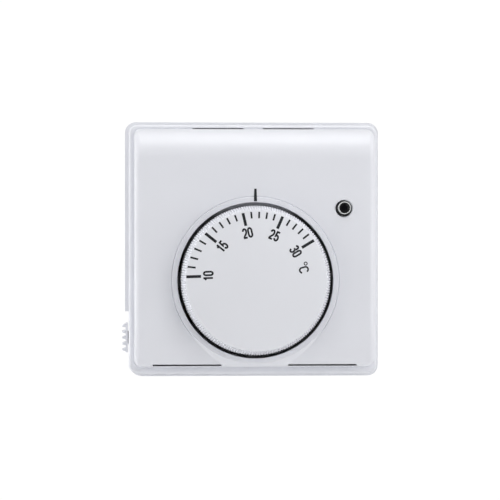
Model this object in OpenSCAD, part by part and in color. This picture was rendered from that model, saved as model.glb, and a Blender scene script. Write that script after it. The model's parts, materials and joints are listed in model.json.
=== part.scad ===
// Mechanical room thermostat for surface mounting on a wall.
// The wall is the XZ plane, the front faces -Y and +Z is up. The origin is the middle of the
// housing's back face. Every module is drawn face on: x to the right, y up, z out from the wall.

/* [Housing] */
// Width and height of the rear housing
case_size = 83; // [81:0.5:88]
// How far the rear housing stands off the wall
case_depth = 7; // [6.6:0.1:9]
// Radius of the housing's corners
case_corner = 3.5; // [2:0.5:5]
// Thickness of the housing's floor
floor_t = 2; // [1.6:0.1:2.2]
// Thickness of the moulded walls
wall_t = 1.8; // [1.4:0.1:2]

/* [Cover] */
// Width and height of the cover's skirt
skirt_size = 80.6; // [79:0.2:81]
// Depth of the skirt's front step, from the wall
skirt_depth = 15; // [13:0.5:16]
// Width of the raised panel
panel_w = 77; // [75:0.5:78]
// Height of the raised panel's top edge above the middle
panel_top = 38.8; // [38:0.1:39]
// Distance of the panel's root at the bottom below the middle
panel_bottom = 38; // [37.8:0.1:38.6]
// Distance of the panel's front plane from the wall
front_depth = 28; // [27:0.5:30]
// Radius of the large curve along the top
top_curve = 9.6; // [8:0.2:10]
// Radius of the slow curve along the bottom
bottom_curve = 38; // [30:1:60]
// Height below the middle where the bottom curve starts
bottom_curve_start = 24; // [22:0.5:26]
// Radius along the panel's left and right front edges
side_round = 2; // [1:0.25:3]

/* [Dial] */
// Height of the dial's axis above the middle
dial_y = -9.8; // [-11:0.1:-9]
// Radius of the dial at its rear edge
dial_r = 23.8; // [23:0.05:24]
// Radius of the dial's flat face
face_r = 22.5; // [21:0.1:23]
// Distance of the dial's face from the wall
face_depth = 37; // [35.5:0.5:38]
// Turn of the dial from rest to the scale's low end, degrees
turn_low = 86.8; // [60:0.1:100]
// Turn of the dial from rest to the scale's high end, degrees
turn_high = 56.4; // [40:0.1:80]
// Radius of the round opening that the dial sits in
opening_r = 24.85; // [24.5:0.05:25]
// Distance of the collar's flat ring from the wall
collar_depth = 28.5; // [28.3:0.05:29]
// Outer radius of the collar where it meets the panel's front plane
collar_r = 26.67; // [26:0.01:28]

/* [Indicator] */
// Sideways place of the hole in the cover
lamp_x = 28.3; // [27:0.1:30]
// Height of the hole in the cover
lamp_y = 13.1; // [12:0.1:14]
// Radius of the hole in the cover
lamp_hole_r = 2.7; // [2.6:0.1:3]
// Radius of the indicator lens
lens_r = 1.68; // [1.5:0.02:1.7]

/* [Slide switch] */
// Height of the slide button's middle at rest
slide_y = -28.9; // [-29.5:0.1:-28.5]
// Length of the slide button
slide_len = 9.7; // [9:0.1:10]
// Travel of the slide button
slide_travel = 3; // [2:0.5:3]
// Number of grip ridges
ridge_count = 5; // [3:1:5]

/* [Mounting] */
// Distance between the two wall screws
screw_spacing = 60; // [58:0.5:62]
// Length of each screw slot
slot_len = 8; // [6:0.5:9]
// Width of each screw slot
slot_w = 4.2; // [3.6:0.1:4.6]

/* [Mechanism] */
// Radius of the sensing capsule
capsule_r = 14.5; // [13:0.25:14.5]
// Distance of the capsule's back from the wall
capsule_back = 4.5; // [4.2:0.1:4.6]
// Distance of the lever's rear face from the wall
lever_back = 12; // [11.9:0.1:12.2]
// Distance from the lever's pin to the dial's axis
hub_arm = 18.5; // [18:0.1:19]
// Distance from the lever's pin to the microswitch plunger
plunger_arm = 40.5; // [40:0.1:41]

/* [Hidden] */
$fn = 64;
eps = 0.05;

case_h = case_size / 2;
skirt_h = skirt_size / 2;
panel_h = panel_w / 2;
well_floor = 22;
well_floor_t = 1.5;
well_wall = 1.5;
// inner and outer radius of the air slots in the well's floor, and where each starts and ends
well_slot_r = [21.8, opening_r - 0.15];
well_slots = [[6, 56], [124, 174], [186, 264], [276, 354]];
// sideways start and end of each vent, right of the middle
top_vent = [3.15, 19.65];
low_vent = [10.65, 32.7];
notch_depth = 1.2;
notch_top = -20.3;
notch_corner = 4.5;

bridge_z = 19.6;
bridge_t = 1;
leg_x = 19;
foot_x = 23;
boss_top = 4.5;
bush_r = 3.5;
spindle_r = 2.5;
thread_r = 1.45;
nut_z = 16.6;
nut_t = 1.8;
nut_side = 8;

pivot_y = dial_y - hub_arm;
plunger_y = pivot_y + plunger_arm;
lever_t = 0.8;
pivot_z = lever_back + lever_t / 2;

stop_r = 18.5;
stop_w = 1.6;
pin_r = 0.8;
stop_gap = 5.3;
cover_screw_at = [13.2, dial_y - 13.2];

pole_pitch = 7;
pole_count = 5;
block_x = -28;
block_y = [27.5, 37.5];
block_z = [floor_t, 13];

slide_z = 4.3;
tower_at = [lamp_x + 0.15, lamp_y + 0.2];

white = [0.9, 0.91, 0.93];
steel = [0.7, 0.71, 0.73];
brass = [0.8, 0.66, 0.36];

// ---------- helpers ----------

// Turns a face-on drawing so that its depth runs out from the wall
module on_wall() {
  rotate([90, 0, 0]) children();
}

// A square with round corners, centred
module round_rect(w, h, r) {
  union() {
    square([w - 2 * r, h], center = true);
    square([w, h - 2 * r], center = true);
    for (sx = [-1, 1], sy = [-1, 1]) {
      translate([sx * (w / 2 - r), sy * (h / 2 - r)]) circle(r);
    }
  }
}

// A slot with round ends along x, centred
module slot(len, w) {
  union() {
    square([len - w, w], center = true);
    for (s = [-1, 1]) translate([s * (len - w) / 2, 0]) circle(w / 2);
  }
}

// A round bar from one depth to another
module bar(r, z0, z1) {
  translate([0, 0, z0]) cylinder(h = z1 - z0, r = r);
}

// A round bar along x, centred
module bar_x(r, len) {
  rotate([0, 90, 0]) cylinder(h = len, r = r, center = true);
}

// A box given by its lowest corner and its highest corner
module block(low, high) {
  translate(low) cube(high - low);
}

// A screw with a slotted head: its head stands on depth z, and its shank goes back from there
module screw(z, head_r, head_t, shank_r, len) {
  difference() {
    union() {
      bar(head_r, z, z + head_t);
      bar(shank_r, z - len, z + eps);
    }
    translate([-head_r, -0.25, z + head_t * 0.45]) cube([2 * head_r, 0.5, head_t]);
  }
}

function unit(v) = v / norm(v);

// Cuts each corner of a route once, keeping its ends
function eased(p) = concat([p[0]],
  [for (i = [0 : len(p) - 2]) each [0.75 * p[i] + 0.25 * p[i + 1], 0.25 * p[i] + 0.75 * p[i + 1]]],
  [p[len(p) - 1]]);

// The direction of a route at its point number i
function heading(p, i) = unit(i == 0 ? p[1] - p[0]
  : i == len(p) - 1 ? p[i] - p[i - 1]
  : unit(p[i + 1] - p[i]) + unit(p[i] - p[i - 1]));

// A direction square to t, as near to u as can be
function squared(u, t) = unit(u - (u * t) * t);

// A round tube swept along a route
module tube(route, r, sides = 8) {
  last = len(route) - 1;
  axes = [for (i = 0, t = heading(route, 0), u = squared([0.31, 0.17, 0.93], t); i <= last;
    i = i + 1, t = heading(route, min(i, last)), u = squared(u, t)) [u, cross(t, u)]];
  points = [for (i = [0 : last], k = [0 : sides - 1])
    let (a = 360 * k / sides) route[i] + r * (cos(a) * axes[i][0] + sin(a) * axes[i][1])];
  walls = [for (i = [0 : last - 1], k = [0 : sides - 1])
    [i * sides + k, (i + 1) * sides + k, (i + 1) * sides + (k + 1) % sides,
     i * sides + (k + 1) % sides]];
  caps = [[for (k = [0 : sides - 1]) k],
          [for (k = [0 : sides - 1]) last * sides + sides - 1 - k]];
  polyhedron(points, concat(walls, caps));
}

// A wire bent round the corners of a route
module wire(corners, r) {
  tube(eased(eased(corners)), r);
}

// ---------- rear housing ----------

// The housing's outline, with the notch for the slide switch and its rounded lower corner
module case_outline() {
  low = case_h - notch_corner;
  difference() {
    round_rect(case_size, case_size, case_corner);
    translate([-case_h - 1, -case_h - 1]) square([1 + notch_depth, case_h + 1 + notch_top]);
    difference() {
      translate([-case_h, -case_h - 1]) square([notch_depth + notch_corner, notch_corner + 1]);
      translate([-case_h + notch_depth + notch_corner, -low]) circle(notch_corner);
    }
  }
}

module rear_housing() {
  inner = case_size - 2 * wall_t;
  neck_h = 4;
  color(white) on_wall() difference() {
    union() {
      linear_extrude(floor_t) case_outline();
      difference() {
        linear_extrude(case_depth) case_outline();
        translate([0, 0, floor_t]) linear_extrude(case_depth)
          difference() {
            round_rect(inner, inner, case_corner - wall_t);
            translate([-case_h, -case_h])
              square([notch_depth + wall_t, case_h + notch_top + wall_t]);
          }
      }
      // boss for the cover screw
      translate(cover_screw_at) bar(3, 0, 21.6);
      // bosses for the bridge's feet
      for (s = [-1, 1]) translate([s * foot_x, dial_y]) bar(3, 0, boss_top);
      // seat of the capsule
      translate([0, dial_y]) bar(5, 0, capsule_back);
      // post of the indicator
      translate(tower_at) bar(3.6, 0, 22);
      // pads around the screw slots
      for (s = [-1, 1]) translate([s * screw_spacing / 2, 0, 0])
        linear_extrude(floor_t + 0.8) slot(slot_len + 3, slot_w + 3);
    }
    // wall screw slots
    for (s = [-1, 1]) translate([s * screw_spacing / 2, 0, -1])
      linear_extrude(case_depth) slot(slot_len, slot_w);
    // cable window under the terminals
    translate([0, 0, -1]) linear_extrude(case_depth)
      translate([-14, 21.6]) round_rect(24, 8.8, 1);
    // pilot hole of the cover screw
    translate(cover_screw_at) bar(1.35, 9, 30);
    // pilot holes of the bridge's screws
    for (s = [-1, 1]) translate([s * foot_x, dial_y]) bar(1.25, 0.8, 10);
    // pilot hole of the lever bracket's screw, from behind
    translate([0, pivot_y]) bar(1.3, -1, 10);
    translate([0, pivot_y]) bar(2.6, -1, 0.9);
    // hole and hexagonal pocket of the capsule's stud
    translate([0, dial_y]) bar(1.65, -1, 10);
    translate([0, dial_y]) translate([0, 0, -1]) cylinder(h = 3.4, r = 3.3, $fn = 6);
    // pilot holes of the microswitch's screws
    for (p = microswitch_holes) translate(p) bar(0.95, -1, 10);
    // bore and wire notch of the indicator's post
    translate(tower_at) bar(2.35, 6, 30);
    translate(tower_at) block([-0.8, 0, 6], [0.8, 5, 12]);
    // window of the slide button's neck
    block([-case_h, slide_y - neck_h / 2 - 0.3, slide_z - 1.3],
          [-case_h + 6, slide_y + neck_h / 2 + slide_travel + 0.3, slide_z + 1.3]);
    // vents in the top and the bottom wall
    for (i = [-4 : 4], s = [-1, 1])
      translate([i * 7, s * case_h, 4.2]) cube([4.4, 3 * wall_t, 1.4], center = true);
  }
}

// ---------- front cover ----------

// Side profile of the raised panel, drawn with y to the right and depth upwards, set back by t
module panel_profile(t) {
  top = panel_top - t;
  front = front_depth - t;
  low = panel_bottom - t;
  difference() {
    polygon([[-low, 0], [top, 0], [top, front], [-low + 0.9, front], [-low, skirt_depth]]);
    // large curve along the top
    difference() {
      translate([panel_top - top_curve, front_depth - top_curve]) square(top_curve + 1);
      translate([panel_top - top_curve, front_depth - top_curve]) circle(top_curve - t, $fn = 96);
    }
    // slow curve along the bottom
    difference() {
      translate([-bottom_curve_start - 20, 0]) square([20, front_depth + 1]);
      translate([-bottom_curve_start, front_depth - bottom_curve])
        circle(bottom_curve - t, $fn = 192);
    }
  }
}

// Section of the raised panel from side to side, drawn with depth upwards, set back by t
module panel_section(t) {
  w = panel_h - t;
  top = front_depth - t;
  r = side_round;
  union() {
    translate([-w, 0]) square([2 * w, top - r]);
    translate([-w + r, 0]) square([2 * (w - r), top]);
    for (s = [-1, 1]) translate([s * (w - r), top - r]) circle(r);
  }
}

// The raised panel as a solid, set back by t
module panel(t) {
  intersection() {
    rotate([90, 0, 90]) translate([0, 0, -panel_h - 1])
      linear_extrude(panel_w + 2) panel_profile(t);
    rotate([90, 0, 0]) translate([0, 0, -case_h])
      linear_extrude(case_size) panel_section(t);
    linear_extrude(front_depth + 1)
      translate([0, (panel_top - panel_bottom) / 2])
        round_rect(panel_w - 2 * t, panel_top + panel_bottom - 2 * t, 2.4);
  }
}

// The collar as a solid: a low ring on the front plane, widening evenly behind it, so that it
// stands out where the panel falls back
module collar() {
  depth = 4;
  draft = 0.12;
  rotate_extrude($fn = 128) polygon([
    [0, front_depth - depth], [collar_r + depth, front_depth - depth], [collar_r, front_depth],
    [collar_r - draft, collar_depth], [0, collar_depth]
  ]);
}

module front_cover() {
  skirt_in = skirt_size - 2 * wall_t;
  color(white) on_wall() difference() {
    union() {
      difference() {
        union() {
          translate([0, 0, case_depth]) linear_extrude(skirt_depth - case_depth)
            round_rect(skirt_size, skirt_size, 3);
          intersection() {
            union() {
              panel(0);
              translate([0, dial_y]) collar();
            }
            linear_extrude(40) round_rect(panel_w - 0.4, 2 * panel_bottom - 1.4, 2.4);
            translate([0, 0, case_depth]) linear_extrude(40) square(case_size, center = true);
          }
          intersection() {
            panel(0);
            translate([0, 0, case_depth + 1]) linear_extrude(40) square(case_size, center = true);
          }
        }
        panel(wall_t);
        translate([0, 0, case_depth - 1]) linear_extrude(skirt_depth - case_depth + 1 - wall_t)
          round_rect(skirt_in, skirt_in, 1.6);
        // groove between the skirt's step and the panel
        translate([0, 0, skirt_depth - 0.15]) linear_extrude(1) difference() {
          round_rect(panel_w + 1.2, 2 * panel_top + 0.4, 3);
          translate([0, (panel_top - panel_bottom) / 2])
            round_rect(panel_w, panel_top + panel_bottom, 2.4);
        }
      }
      // dial well
      translate([0, dial_y]) bar(opening_r + well_wall, well_floor, front_depth - 2.8);
    }
    translate([0, dial_y]) bar(opening_r, well_floor + well_floor_t, 60);
    // hole of the spindle
    translate([0, dial_y]) bar(4.6, 0, 60);
    // hole of the cover screw
    translate(cover_screw_at) bar(1.6, 0, 60);
    // holes of the limit pins
    for (p = limit_pin_places) translate(p) bar(pin_r + 0.03, 0, 60);
    // hole of the indicator
    translate([lamp_x, lamp_y]) bar(lamp_hole_r, 20, 60);
    // top vents: slits in the skirt's step, and a pocket behind each that opens inwards
    for (s = [-1, 1], cut = [[0.02, 0.47, skirt_depth - 2, skirt_depth + 1],
                             [-1.3, 0.47, 9, skirt_depth - 0.8]])
      block([s > 0 ? top_vent[0] : -top_vent[1], panel_top + cut[0], cut[2]],
            [s > 0 ? top_vent[1] : -top_vent[0], panel_top + cut[1], cut[3]]);
    // air slots round the floor of the dial well, with the widest bridge at the top
    for (slot = well_slots) translate([0, dial_y, well_floor - 1]) rotate([0, 0, slot[0]])
      rotate_extrude(angle = slot[1] - slot[0], $fn = 96)
        translate([well_slot_r[0], 0])
          square([well_slot_r[1] - well_slot_r[0], well_floor_t + 2]);
    // bottom vents: slits in the front, and a pocket behind each that thins the wall
    for (s = [-1, 1], cut = [[0.75, 1.3, 20, front_depth],
                             [0.7, 3, 13.5, front_depth - 4.6]])
      difference() {
        block([s > 0 ? low_vent[0] : -low_vent[1], cut[0] - panel_bottom, cut[2]],
              [s > 0 ? low_vent[1] : -low_vent[0], cut[1] - panel_bottom, cut[3]]);
        translate([0, dial_y]) collar();
      }
  }
}

limit_pin_places = [for (a = [90 - turn_low - stop_gap, 90 + turn_high + stop_gap])
  [stop_r * cos(a), dial_y + stop_r * sin(a)]];

module cover_screw() {
  color(steel) on_wall() translate(cover_screw_at)
    screw(well_floor + well_floor_t, 2.5, 1.4, 1.3, 12);
}

module limit_pins() {
  color(white) on_wall() for (p = limit_pin_places) translate(p)
    bar(pin_r, well_floor + 0.1, 26.2);
}

// ---------- dial ----------

module dial_knob() {
  rear = well_floor + well_floor_t + 0.7;
  taper_z = 30;
  wall = 1.6;
  hub_r = 4.2;
  face_t = 2;
  color(white) on_wall() translate([0, dial_y]) difference() {
    union() {
      rotate_extrude($fn = 128) polygon([
        [dial_r - wall, rear], [dial_r - 0.2, rear], [dial_r, rear + 0.3], [dial_r, taper_z],
        [face_r + 0.2, face_depth - 0.25], [face_r, face_depth], [0, face_depth],
        [0, face_depth - face_t], [face_r - wall, face_depth - face_t],
        [dial_r - wall, taper_z]
      ]);
      bar(hub_r, 25.6, face_depth - face_t + eps);
      // stop rib, upwards at rest
      translate([-stop_w / 2, 15.5, 24.6]) cube([stop_w, 5, face_depth - face_t - 24.6 + eps]);
      // stiffening ribs between hub and rim
      for (a = [30 : 60 : 330]) rotate([0, 0, a])
        translate([hub_r - 0.2, -0.5, 31]) cube([face_r - hub_r - 1.2, 1, 4.1]);
    }
    spindle_end(0.04, 34);
  }
}

// The flatted front end of the spindle, grown by gap
module spindle_end(gap, top) {
  intersection() {
    bar(spindle_r + gap, 22.4, top);
    block([-5, -5, 22], [5, 1.6 + gap, 40]);
  }
}

module dial_spindle() {
  color(brass) on_wall() translate([0, dial_y]) union() {
    bar(thread_r, 13.9, 19);
    bar(2, 19, 19.6);
    bar(spindle_r, 19.55, 21.5);
    bar(3.4, 21.48, 22.4);
    spindle_end(0, 33.6);
  }
}

module spindle_clip() {
  color(steel) on_wall() translate([0, dial_y]) difference() {
    bar(3.6, 19.05, 19.4);
    bar(2.03, 18, 20);
    block([-1.2, 0, 18], [1.2, 5, 20]);
  }
}

module spindle_bush() {
  color(brass) on_wall() translate([0, dial_y]) difference() {
    union() {
      bar(bush_r, bridge_z, bridge_z + bridge_t);
      bar(4.4, bridge_z + bridge_t, bridge_z + bridge_t + 0.8);
    }
    bar(spindle_r + 0.03, 0, 60);
  }
}

// ---------- bridge and range setting ----------

module bridge_frame() {
  plate_w = 2 * leg_x + 1;
  half_h = 6;
  guide = nut_side / 2 + 0.15;
  color(steel) on_wall() translate([0, dial_y]) difference() {
    union() {
      block([-plate_w / 2, -half_h, bridge_z], [plate_w / 2, half_h, bridge_z + bridge_t]);
      for (s = [-1, 1]) {
        translate([s * leg_x - 0.5, -half_h, boss_top])
          cube([1, 2 * half_h, bridge_z + bridge_t - boss_top]);
        translate([s * (leg_x + 3.5) - 3.5, -half_h + 2, boss_top]) cube([7, 2 * half_h - 4, 1]);
        // tabs that keep the nut from turning
        translate([-4, s * (guide + 0.5) - 0.5, 14.5]) cube([8, 1, bridge_z - 14.5 + eps]);
      }
    }
    bar(bush_r + 0.02, 0, 60);
    for (s = [-1, 1]) translate([s * foot_x, 0]) bar(1.4, 0, 10);
    // windows that let the room's air reach the capsule
    for (s = [-1, 1]) translate([s * 11.5, 0, 0])
      linear_extrude(60) round_rect(7, 7, 1.5);
  }
}

module bridge_screws() {
  color(steel) on_wall() for (s = [-1, 1])
    translate([s * foot_x, dial_y]) screw(boss_top + 1, 2.2, 1.4, 1.2, 4);
}

module range_nut() {
  color(brass) on_wall() translate([0, dial_y]) difference() {
    translate([-nut_side / 2, -nut_side / 2, nut_z]) cube([nut_side, nut_side, nut_t]);
    bar(thread_r + 0.05, 0, 60);
  }
}

module range_spring() {
  per_turn = 20;
  turns = 3.5;
  wire_r = 0.28;
  coil_r = 2.9;
  z0 = lever_back + lever_t + 0.05 + wire_r;
  z1 = nut_z - 0.05 - wire_r;
  n = per_turn * turns;
  helix = [for (i = [0 : n]) let (a = 360 * i / per_turn)
    [coil_r * cos(a), coil_r * sin(a), z0 + (z1 - z0) * i / n]];
  color(steel) on_wall() translate([0, dial_y]) tube(helix, wire_r);
}

// ---------- sensing capsule ----------

module capsule_shell() {
  color(brass) on_wall() translate([0, dial_y]) union() {
    difference() {
      bar(capsule_r, capsule_back, capsule_back + 2);
      bar(capsule_r - 1.2, capsule_back + 0.6, capsule_back + 3);
    }
    // stud through the housing's floor
    bar(1.6, 0.3, capsule_back + 0.3);
  }
}

// Corrugated disc: rings of waves between the clamped rim and the middle
module capsule_diaphragm() {
  rim_in = capsule_r - 1.4;
  steps = 44;
  sheet_t = 0.35;
  z0 = capsule_back + 2;
  wave = function(r) z0 + 0.5 + 0.35 * (1 - cos(360 * 4 * (rim_in - r) / rim_in));
  front = [for (i = [0 : steps]) let (r = rim_in * (1 - i / steps)) [r, wave(r) + sheet_t]];
  back = [for (i = [steps : -1 : 0]) let (r = rim_in * (1 - i / steps)) [r, wave(r)]];
  color(brass) on_wall() translate([0, dial_y]) rotate_extrude($fn = 96)
    polygon(concat([[capsule_r, z0], [capsule_r, z0 + 0.5 + sheet_t]], front, back, [[rim_in, z0]]));
}

module capsule_hub() {
  z0 = capsule_back + 2 + 0.5 + 0.7 + 0.35 + 0.06;
  color(brass) on_wall() translate([0, dial_y]) union() {
    bar(2.4, z0, z0 + 1.2);
    bar(1.5, z0 + 1.15, lever_back - 0.05);
  }
}

module capsule_nut() {
  color(steel) on_wall() translate([0, dial_y]) difference() {
    translate([0, 0, 0.3]) cylinder(h = 2, r = 3.1, $fn = 6);
    bar(1.63, -1, 5);
  }
}

// ---------- lever ----------

module switch_lever() {
  barrel_r = 1.7;
  top = plunger_y + 2.6;
  color(steel) on_wall() difference() {
    union() {
      translate([0, 0, lever_back]) linear_extrude(lever_t)
        polygon([[-4, pivot_y], [4, pivot_y], [4, dial_y + 6], [2.6, top], [-2.6, top],
                 [-4, dial_y + 6]]);
      translate([0, pivot_y, pivot_z]) bar_x(barrel_r, 8);
      translate([0, plunger_y]) bar(1.5, lever_back + 0.4, 14.4);
      // centring dimple of the spring
      translate([0, dial_y]) bar(2.2, lever_back + 0.4, 13.3);
    }
    translate([0, pivot_y, pivot_z]) bar_x(0.85, 20);
    translate([0, plunger_y]) bar(0.85, 0, 60);
  }
}

module lever_pin() {
  color(steel) on_wall() translate([0, pivot_y, pivot_z]) bar_x(0.8, 12.4);
}

module lever_bracket() {
  ear_x = 4.6;
  ear_t = 1;
  w = ear_x + ear_t;
  color(steel) on_wall() translate([0, pivot_y]) difference() {
    union() {
      block([-w, -2.8, floor_t], [w, 2.8, floor_t + 1]);
      for (s = [-1, 1]) translate([s * (ear_x + ear_t / 2), 0])
        block([-ear_t / 2, -2.8, floor_t], [ear_t / 2, 2.8, pivot_z + 2]);
    }
    translate([0, 0, pivot_z]) bar_x(0.8, 40);
    bar(1.05, 0, 10);
  }
}

module bracket_screw() {
  color(steel) on_wall() translate([0, pivot_y]) mirror([0, 0, 1])
    screw(-0.9, 2.3, 0.8, 1, 3);
}

module trim_screw() {
  color(brass) on_wall() translate([0, plunger_y]) difference() {
    bar(0.82, lever_back, 15.2);
    translate([-1, -0.15, 14.8]) cube([2, 0.3, 1]);
  }
}

// ---------- microswitch ----------

ms_low = [-7, plunger_y - 3.2, floor_t];
ms_high = [13, plunger_y + 3.2, 11];
ms_wall = 0.9;
microswitch_holes = [[-5.2, plunger_y + 4.6], [11.2, plunger_y + 4.6]];

module microswitch_case() {
  lid_y = ms_high.y - ms_wall;
  color([0.2, 0.2, 0.22]) on_wall() difference() {
    union() {
      block(ms_low, [ms_high.x, lid_y - eps, ms_high.z]);
      // fixing ears
      for (p = microswitch_holes) translate([p.x - 1.8, lid_y - 1, floor_t])
        cube([3.6, 3.9, 1.6]);
    }
    block([ms_low.x + ms_wall, ms_low.y + ms_wall, floor_t + 1],
          [ms_high.x - ms_wall, ms_high.y, ms_high.z - 1]);
    translate([0, plunger_y]) bar(0.86, 8, 20);
    // slots of the tags in the left and the right end
    for (z = tag_depths) block([ms_low.x - 1, plunger_y - 1.6, z - 0.3],
                               [ms_low.x + 2, plunger_y + 1.6, z + 0.3]);
    block([ms_high.x - 2, plunger_y - 1.6, tag_depths[1] - 0.3],
          [ms_high.x + 1, plunger_y + 1.6, tag_depths[1] + 0.3]);
    for (p = microswitch_holes) translate(p) bar(1.05, 0, 10);
  }
}

tag_depths = [4.2, 6.6];

module microswitch_lid() {
  color([0.2, 0.2, 0.22]) on_wall() difference() {
    union() {
      block([ms_low.x, ms_high.y - ms_wall, floor_t + 1.7], ms_high);
      block([ms_low.x + ms_wall + eps, ms_high.y - 2 * ms_wall, floor_t + 1 + eps],
            [ms_high.x - ms_wall - eps, ms_high.y - ms_wall + eps, floor_t + 1.9]);
    }
    // clear of the screw heads
    for (p = microswitch_holes) translate(p) bar(1.9, 0, 6);
  }
}

module microswitch_plunger() {
  color([0.75, 0.2, 0.15]) on_wall() translate([0, plunger_y]) union() {
    bar(0.8, 8.6, lever_back - 0.05);
    bar(1.3, 7.9, 8.7);
  }
}

module snap_blade() {
  color(brass) on_wall() translate([0, plunger_y]) difference() {
    union() {
      block([-5.7, -1.4, 7.2], [9, 1.4, 7.4]);
      block([7, -1.4, 6.85], [9, 1.4, 7.25]);
      block([-5.7, -1.4, 6.95], [-4.9, 1.4, 7.25]);
    }
    block([2, -0.6, 7], [6, 0.6, 8]);
  }
}

module fixed_contact() {
  color(brass) on_wall() translate([8, plunger_y]) bar(1, 8, 8.6);
  color(brass) on_wall() translate([0, plunger_y]) union() {
    block([7.2, -1.4, 8.6], [11.9, 1.4, 9]);
    block([11.5, -1.4, 7], [11.9, 1.4, 8.65]);
  }
}

module microswitch_tags() {
  color(brass) on_wall() translate([0, plunger_y]) union() {
    block([-11, -1.5, tag_depths[1] - 0.25], [-4.8, 1.5, tag_depths[1] + 0.25]);
  }
  color(brass) on_wall() translate([0, plunger_y])
    block([-11, -1.5, tag_depths[0] - 0.25], [-4.8, 1.5, tag_depths[0] + 0.25]);
  color(brass) on_wall() translate([0, plunger_y])
    block([11.3, -1.5, tag_depths[1] - 0.25], [17, 1.5, tag_depths[1] + 0.25]);
}

module microswitch_screws() {
  color(steel) on_wall() for (p = microswitch_holes)
    translate(p) screw(floor_t + 1.6, 1.7, 1, 0.9, 3.4);
}

// ---------- terminals ----------

module at_poles() {
  for (i = [0 : pole_count - 1]) translate([block_x + i * pole_pitch, 0]) children();
}

module terminal_block() {
  margin = 4;
  low_x = block_x - margin;
  high_x = block_x + (pole_count - 1) * pole_pitch + margin;
  color([0.86, 0.86, 0.84]) on_wall() difference() {
    block([low_x, block_y[0], block_z[0]], [high_x, block_y[1], block_z[1]]);
    at_poles() {
      block([-2.5, 28.7, 4], [2.5, 36, 9.2]);
      translate([0, 30, 6.4]) rotate([90, 0, 0]) cylinder(h = 5, r = 1.8);
      translate([0, 32.2]) bar(2.1, 9, 20);
    }
    // snap notches between the poles
    for (i = [0 : pole_count - 2])
      translate([block_x + (i + 0.5) * pole_pitch - 0.4, block_y[0] - 1, 9.5]) cube([0.8, 12, 5]);
  }
}

module terminal_clamps() {
  color(brass) on_wall() at_poles() difference() {
    block([-2.4, 28.8, 4.1], [2.4, 35.8, 9.1]);
    translate([0, 34, 6.4]) rotate([90, 0, 0]) cylinder(h = 8, r = 1.6);
    translate([0, 32.2]) bar(1.3, 6, 20);
  }
}

module terminal_screws() {
  color(steel) on_wall() at_poles() translate([0, 32.2]) screw(9.4, 1.9, 2, 1.25, 2.4);
}

// ---------- slide switch ----------

sw_low = [-38.2, slide_y - 7.2, floor_t];
sw_high = [-31, slide_y + 9.2, 6.9];

module slide_knob() {
  base_x = -case_h + notch_depth - 0.25;
  pad_x = base_x - 0.75;
  tip_x = -42.4;
  pitch = 1.95;
  pad_w = 4.4;
  color(white) on_wall() translate([0, slide_y, slide_z]) union() {
    block([pad_x, -slide_len / 2, -pad_w / 2], [base_x, slide_len / 2, pad_w / 2]);
    for (i = [0 : ridge_count - 1]) translate([0, (i - (ridge_count - 1) / 2) * pitch, 0])
      translate([0, 0, -pad_w / 2]) linear_extrude(pad_w)
        polygon([[pad_x + eps, -0.62], [tip_x, -0.3], [tip_x, 0.3], [pad_x + eps, 0.62]]);
    block([base_x - eps, -2, -1.1], [-38, 2, 1.1]);
    block([-38.05, -3.2, -1.5], [-34, 3.2, 1.4]);
  }
}

module slide_switch_case() {
  color([0.25, 0.25, 0.27]) on_wall() difference() {
    block(sw_low, sw_high);
    block([sw_low.x - 1, sw_low.y + 1, 2.7], [sw_high.x - 1, sw_high.y - 1, 6.2]);
    for (y = slide_tag_places) block([-33, y - 1.05, 4], [-30, y + 1.05, 4.6]);
  }
}

slide_tag_places = [for (i = [-1 : 1]) slide_y + i * 4.25];

module slide_switch_contact() {
  color(brass) on_wall() translate([0, slide_y, 0])
    block([-34, -3, 3.3], [-33.5, 3, 5.3]);
}

module slide_switch_tags() {
  color(brass) on_wall() for (y = slide_tag_places)
    block([-33.35, y - 1, 4.05], [-27.5, y + 1, 4.55]);
}

// ---------- indicator ----------

module lamp_bush() {
  color([0.93, 0.93, 0.9]) on_wall() translate(tower_at) difference() {
    union() {
      bar(lens_r + 0.32, 22.05, front_depth + 0.9);
      bar(3, 22.05, 23.2);
    }
    bar(lens_r + 0.03, 20, 60);
  }
}

module lamp_lens() {
  color([0.05, 0.05, 0.05]) on_wall() translate(tower_at) union() {
    bar(lens_r, 23, front_depth + 0.8);
    intersection() {
      translate([0, 0, front_depth - 1.2]) sphere(2.56);
      bar(lens_r - 0.01, front_depth, front_depth + 3);
    }
  }
}

module neon_lamp() {
  color([0.9, 0.8, 0.7]) on_wall() translate(tower_at) union() {
    bar(2.1, 13, 21.4);
    translate([0, 0, 21.4]) cylinder(h = 0.8, r1 = 2.1, r2 = 0.8);
    bar(1.6, 12.2, 13.05);
  }
}

module lamp_leads() {
  low = 9.4;
  // to the resistor
  color(steel) on_wall() {
    wire([[tower_at.x + 0.45, tower_at.y, 12.15], [tower_at.x + 0.45, tower_at.y, low],
          [tower_at.x + 0.45, 21.5, low], [23.6, 22.6, 5.2], [23.6, 24.6, 5.2]], 0.22);
  }
  // to the microswitch's end tag
  color(steel) on_wall() {
    wire([[tower_at.x - 0.45, tower_at.y, 12.15], [tower_at.x - 0.45, tower_at.y, low],
          [tower_at.x - 0.45, 18.8, low], [23, 17.5, 6.6], [21.2, 17, 6.6]], 0.22);
  }
}

// A round resistor with waisted ends and a lead at each end, along x
module resistor(body_r, body_l, lead_l) {
  union() {
    bar_x(body_r, body_l * 0.7);
    for (s = [-1, 1]) translate([s * body_l * 0.4, 0]) bar_x(body_r * 1.12, body_l * 0.2);
    bar_x(0.3, body_l + 2 * lead_l);
  }
}

module lamp_resistor() {
  color([0.45, 0.6, 0.75]) on_wall() translate([29, 25.6, 5.2]) rotate([0, 0, 4])
    resistor(1.15, 6.4, 3);
}

module heat_resistor() {
  color([0.75, 0.62, 0.45]) on_wall() translate([-22, -25.5, 5.6]) rotate([0, 0, 90])
    resistor(1.6, 9, 3.5);
}

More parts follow.
